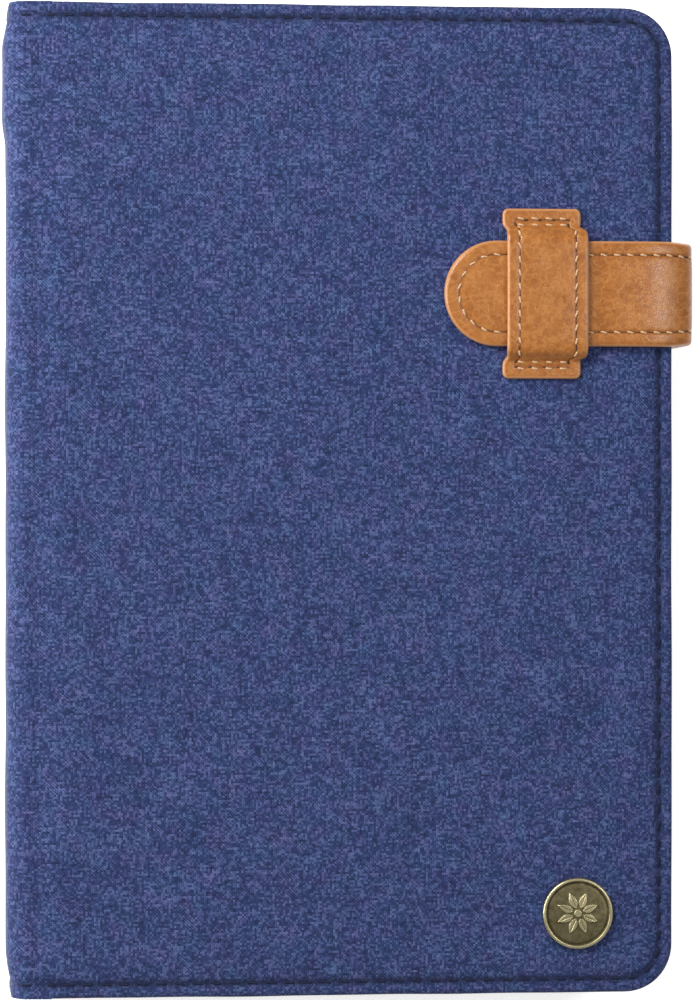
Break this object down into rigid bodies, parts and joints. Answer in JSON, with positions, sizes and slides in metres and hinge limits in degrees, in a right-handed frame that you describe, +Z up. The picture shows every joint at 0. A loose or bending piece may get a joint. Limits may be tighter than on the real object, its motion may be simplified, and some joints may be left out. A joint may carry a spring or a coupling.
{
  "type": "tablet keyboard case",
  "caption": "Book-style fabric case for a small tablet, with a wireless keyboard in the front cover, a clamping tray, a kickstand and a leather strap through a keeper loop.",
  "frame": {"origin": "middle of the closed case's outline on the back cover's outer face, which it lies on", "axes": "+X from the spine to the fore-edge, +Y along the spine towards the strap's end, +Z up through the closed case to the front cover"},
  "size_m": [0.1496, 0.215, 0.0287],
  "materials": {
    "denim_fabric": "closely woven canvas, blue with darker slubs",
    "tan_leather": "smooth vegetable-tanned leather",
    "lining_cloth": "fine brushed microfibre",
    "stiff_board": "pressed fibre board",
    "foam": "closed-cell foam",
    "tape": "double-sided tape",
    "black_plastic": "fine spark-eroded texture",
    "key_plastic": "satin",
    "soft_rubber": "matt silicone",
    "steel": "nickel plated",
    "antique_brass": "antiqued, bright on the high spots",
    "membrane_film": "printed polyester film",
    "circuit_board": "solder mask",
    "battery_pouch": "foil pouch",
    "lamp_lens": "clear moulded lens"
  },
  "bodies": {
    "back_cover": {"back_outer_fabric": "denim_fabric", "back_board": "stiff_board", "back_lining": "lining_cloth", "strap_root": "tan_leather", "tray_base": "black_plastic", "tray_pads": "soft_rubber", "tray_rivets": "steel", "catch_plates": "steel", "jaw_spring_left": "steel", "jaw_spring_right": "steel"},
    "clamp_jaw": {"sliding_jaw": "black_plastic", "jaw_pads": "soft_rubber"},
    "kickstand": {"kickstand_fabric": "denim_fabric", "kickstand_board": "stiff_board", "kickstand_magnets": "steel", "kickstand_hinge_cloth": "denim_fabric"},
    "spine": {"spine_fabric": "denim_fabric", "spine_board": "stiff_board", "spine_lining": "lining_cloth", "hinge_cloth_back": "denim_fabric", "hinge_cloth_front": "denim_fabric"},
    "front_cover": {"front_outer_fabric": "denim_fabric", "front_padding": "foam", "front_board": "stiff_board", "front_lining": "lining_cloth", "keeper_loop": "tan_leather", "badge_cap": "antique_brass", "badge_post": "steel", "badge_washer": "steel", "keyboard_tape": "tape", "keyboard_bottom_case": "black_plastic", "keyboard_top_case": "black_plastic", "keyboard_screws": "steel", "key_membrane": "membrane_film", "dome_mat": "soft_rubber", "control_board": "circuit_board", "battery": "battery_pouch", "charging_port": "steel", "status_leds": "lamp_lens", "rest_bumpers": "soft_rubber"},
    "strap_run": {"strap_lower_bend": "tan_leather", "strap_side": "tan_leather"},
    "strap_end": {"strap_upper_bend": "tan_leather", "strap_tab": "tan_leather"},
    "key_row_1": {"keys_row_1": "key_plastic"},
    "key_row_2": {"keys_row_2": "key_plastic"},
    "key_row_3": {"keys_row_3": "key_plastic"},
    "key_row_4": {"keys_row_4": "key_plastic"},
    "key_row_5": {"keys_row_5": "key_plastic"},
    "key_row_6": {"keys_row_6": "key_plastic"},
    "space_key": {"space_bar": "key_plastic"},
    "switch_slider": {"power_switch": "key_plastic"},
    "pair_button": {"connect_button": "key_plastic"}
  },
  "joints": [
    {"name": "spine_turn", "type": "hinge", "parent": "back_cover", "child": "spine", "pos_m": [-0.0713, 0, 0.0012], "axis": [0, -1, 0], "range_deg": [0, 90], "deforming": ["hinge_cloth_back", "strap_lower_bend", "strap_side", "strap_upper_bend", "strap_tab"]},
    {"name": "cover_turn", "type": "hinge", "parent": "spine", "child": "front_cover", "pos_m": [-0.0713, 0, 0.0238], "axis": [0, -1, 0], "range_deg": [0, 90], "deforming": ["hinge_cloth_front"]},
    {"name": "strap_swing", "type": "hinge", "parent": "back_cover", "child": "strap_run", "pos_m": [0.07533, 0.0449, 0.00217], "axis": [0, 1, 0], "range_deg": [0, 90]},
    {"name": "strap_straighten", "type": "hinge", "parent": "strap_run", "child": "strap_end", "pos_m": [0.07533, 0.0449, 0.02543], "axis": [0, 1, 0], "range_deg": [0, 90]},
    {"name": "kickstand_turn", "type": "hinge", "parent": "back_cover", "child": "kickstand", "pos_m": [0.024, 0, 0.0003], "axis": [0, -1, 0], "range_deg": [0, 60], "deforming": ["kickstand_hinge_cloth"]},
    {"name": "jaw_slide", "type": "slide", "parent": "back_cover", "child": "clamp_jaw", "axis": [0, 1, 0], "range_m": [0, 0.015], "stiffness_N_per_m": 80, "springref_m": -0.01, "deforming": ["jaw_spring_left", "jaw_spring_right"]},
    {"name": "row_1_press", "type": "slide", "parent": "front_cover", "child": "key_row_1", "axis": [0, 0, 1], "range_m": [0, 0.0013], "stiffness_N_per_m": 600, "springref_m": -0.001, "deforming": ["dome_mat"]},
    {"name": "row_2_press", "type": "slide", "parent": "front_cover", "child": "key_row_2", "axis": [0, 0, 1], "range_m": [0, 0.0013], "stiffness_N_per_m": 600, "springref_m": -0.001},
    {"name": "row_3_press", "type": "slide", "parent": "front_cover", "child": "key_row_3", "axis": [0, 0, 1], "range_m": [0, 0.0013], "stiffness_N_per_m": 600, "springref_m": -0.001},
    {"name": "row_4_press", "type": "slide", "parent": "front_cover", "child": "key_row_4", "axis": [0, 0, 1], "range_m": [0, 0.0013], "stiffness_N_per_m": 600, "springref_m": -0.001},
    {"name": "row_5_press", "type": "slide", "parent": "front_cover", "child": "key_row_5", "axis": [0, 0, 1], "range_m": [0, 0.0013], "stiffness_N_per_m": 600, "springref_m": -0.001},
    {"name": "row_6_press", "type": "slide", "parent": "front_cover", "child": "key_row_6", "axis": [0, 0, 1], "range_m": [0, 0.0013], "stiffness_N_per_m": 600, "springref_m": -0.001},
    {"name": "space_press", "type": "slide", "parent": "front_cover", "child": "space_key", "axis": [0, 0, 1], "range_m": [0, 0.0013], "stiffness_N_per_m": 200, "springref_m": -0.001},
    {"name": "power_slide", "type": "slide", "parent": "front_cover", "child": "switch_slider", "axis": [0, 1, 0], "range_m": [0, 0.0025]},
    {"name": "pair_press", "type": "slide", "parent": "front_cover", "child": "pair_button", "axis": [0, 0, 1], "range_m": [0, 0.0005], "stiffness_N_per_m": 300, "springref_m": -0.0005}
  ],
  "couplings": [
    {"joint": "cover_turn", "follows": "spine_turn", "ratio": 1},
    {"joint": "strap_swing", "follows": "spine_turn", "ratio": 1},
    {"joint": "strap_straighten", "follows": "spine_turn", "ratio": 1}
  ]
}
